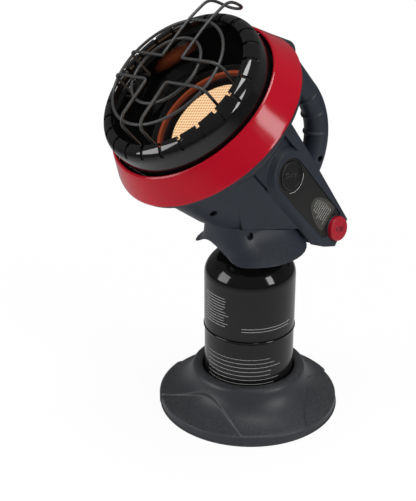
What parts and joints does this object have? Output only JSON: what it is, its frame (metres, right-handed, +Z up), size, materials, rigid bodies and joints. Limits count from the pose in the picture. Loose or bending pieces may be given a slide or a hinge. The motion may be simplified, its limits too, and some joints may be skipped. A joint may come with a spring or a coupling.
{
  "type": "portable propane heater",
  "caption": "Portable radiant gas heater: tilted round burner head with wire guard and carry handle, on a small gas cylinder standing in a wide foot.",
  "frame": {"origin": "centre of the foot's underside, on the axis of the gas cylinder", "axes": "+Z up along the cylinder; the burner head leans forward to -Y and faces up; +X is the side with the control panel"},
  "size_m": [0.2152, 0.2677, 0.4597],
  "materials": {
    "foot_plastic": "fine matte grain",
    "body_plastic": "fine matte grain",
    "cylinder_paint": "gloss black paint",
    "steel": "plain steel",
    "dark_steel": "blackened steel",
    "brass": "turned brass",
    "red_plastic": "gloss red paint",
    "black_enamel": "gloss black enamel",
    "hot_steel": "heat-tinted steel",
    "ceramic": "porous ceramic",
    "wire": "dark enamelled wire",
    "porcelain": "glazed porcelain",
    "copper": "drawn copper",
    "zinc": "cast zinc",
    "rubber": "soft rubber",
    "panel_label": "satin panel",
    "black_plastic": "satin black",
    "red_button": "satin red",
    "white_plastic": "satin white",
    "lead_rubber": "silicone lead"
  },
  "bodies": {
    "stand": {"foot": "foot_plastic"},
    "cylinder": {"cylinder_lower": "cylinder_paint", "cylinder_upper": "cylinder_paint", "cylinder_valve": "steel", "relief_valve": "brass"},
    "gasket": {"inlet_gasket": "rubber"},
    "head": {"skirt": "body_plastic", "skirt_screws": "dark_steel", "housing_right": "body_plastic", "housing_left": "body_plastic", "housing_screws": "dark_steel", "bezel_ring": "red_plastic", "shroud": "black_enamel", "shroud_screws": "dark_steel", "bowl": "black_enamel", "burner_rim": "hot_steel", "plaque": "ceramic", "burner_cup": "steel", "mixing_tube": "steel", "jet_holder": "brass", "guard_loop_wire": "wire", "guard_bent_wires": "wire", "guard_rings": "wire", "pilot_bracket": "steel", "spark_electrode": "porcelain", "thermocouple": "copper", "regulator": "zinc", "regulator_cover": "zinc", "lower_tube": "copper", "upper_tube": "copper", "safety_valve": "brass", "control_plate": "panel_label", "off_spring": "steel", "on_spring": "steel", "piezo_igniter": "black_plastic", "cutoff_switch": "black_plastic", "tip_switch": "black_plastic", "igniter_lead": "lead_rubber"},
    "on_button": {"on_button": "red_button"},
    "off_button": {"off_button": "black_plastic"},
    "piezo_plunger": {"piezo_plunger": "white_plastic"},
    "cutoff_plunger": {"cutoff_plunger": "white_plastic"},
    "valve_stem": {"valve_stem": "steel"}
  },
  "joints": [
    {"name": "cylinder_lift", "type": "slide", "parent": "stand", "child": "cylinder", "axis": [0, 0, 1], "range_m": [0, 0.06]},
    {"name": "on_press", "type": "slide", "parent": "head", "child": "on_button", "axis": [-0.9781, -0.1593, -0.1336], "range_m": [0, 0.005], "stiffness_N_per_m": 800, "deforming": ["on_spring"]},
    {"name": "off_press", "type": "slide", "parent": "head", "child": "off_button", "axis": [-0.9781, -0.1593, -0.1336], "range_m": [0, 0.003], "stiffness_N_per_m": 600, "deforming": ["off_spring"]},
    {"name": "piezo_press", "type": "slide", "parent": "head", "child": "piezo_plunger", "axis": [-0.9781, -0.1593, -0.1336], "range_m": [0, 0.005]},
    {"name": "stem_press", "type": "slide", "parent": "head", "child": "valve_stem", "axis": [-0.9781, -0.1593, -0.1336], "range_m": [0, 0.005]},
    {"name": "cutoff_press", "type": "slide", "parent": "head", "child": "cutoff_plunger", "axis": [-0.9781, -0.1593, -0.1336], "range_m": [0, 0.003]},
    {"name": "thread_rise", "type": "slide", "parent": "cylinder", "child": "gasket", "axis": [0, 0, 1], "range_m": [0, 0.0116]},
    {"name": "head_unscrew", "type": "hinge", "parent": "gasket", "child": "head", "pos_m": [0, 0, 0.2], "axis": [0, 0, 1], "range_deg": [0, 3240]}
  ],
  "couplings": [
    {"joint": "piezo_press", "follows": "on_press", "ratio": 1},
    {"joint": "stem_press", "follows": "on_press", "ratio": 1},
    {"joint": "cutoff_press", "follows": "off_press", "ratio": 1},
    {"joint": "thread_rise", "follows": "head_unscrew", "m_per_rad": 0.00020213}
  ]
}
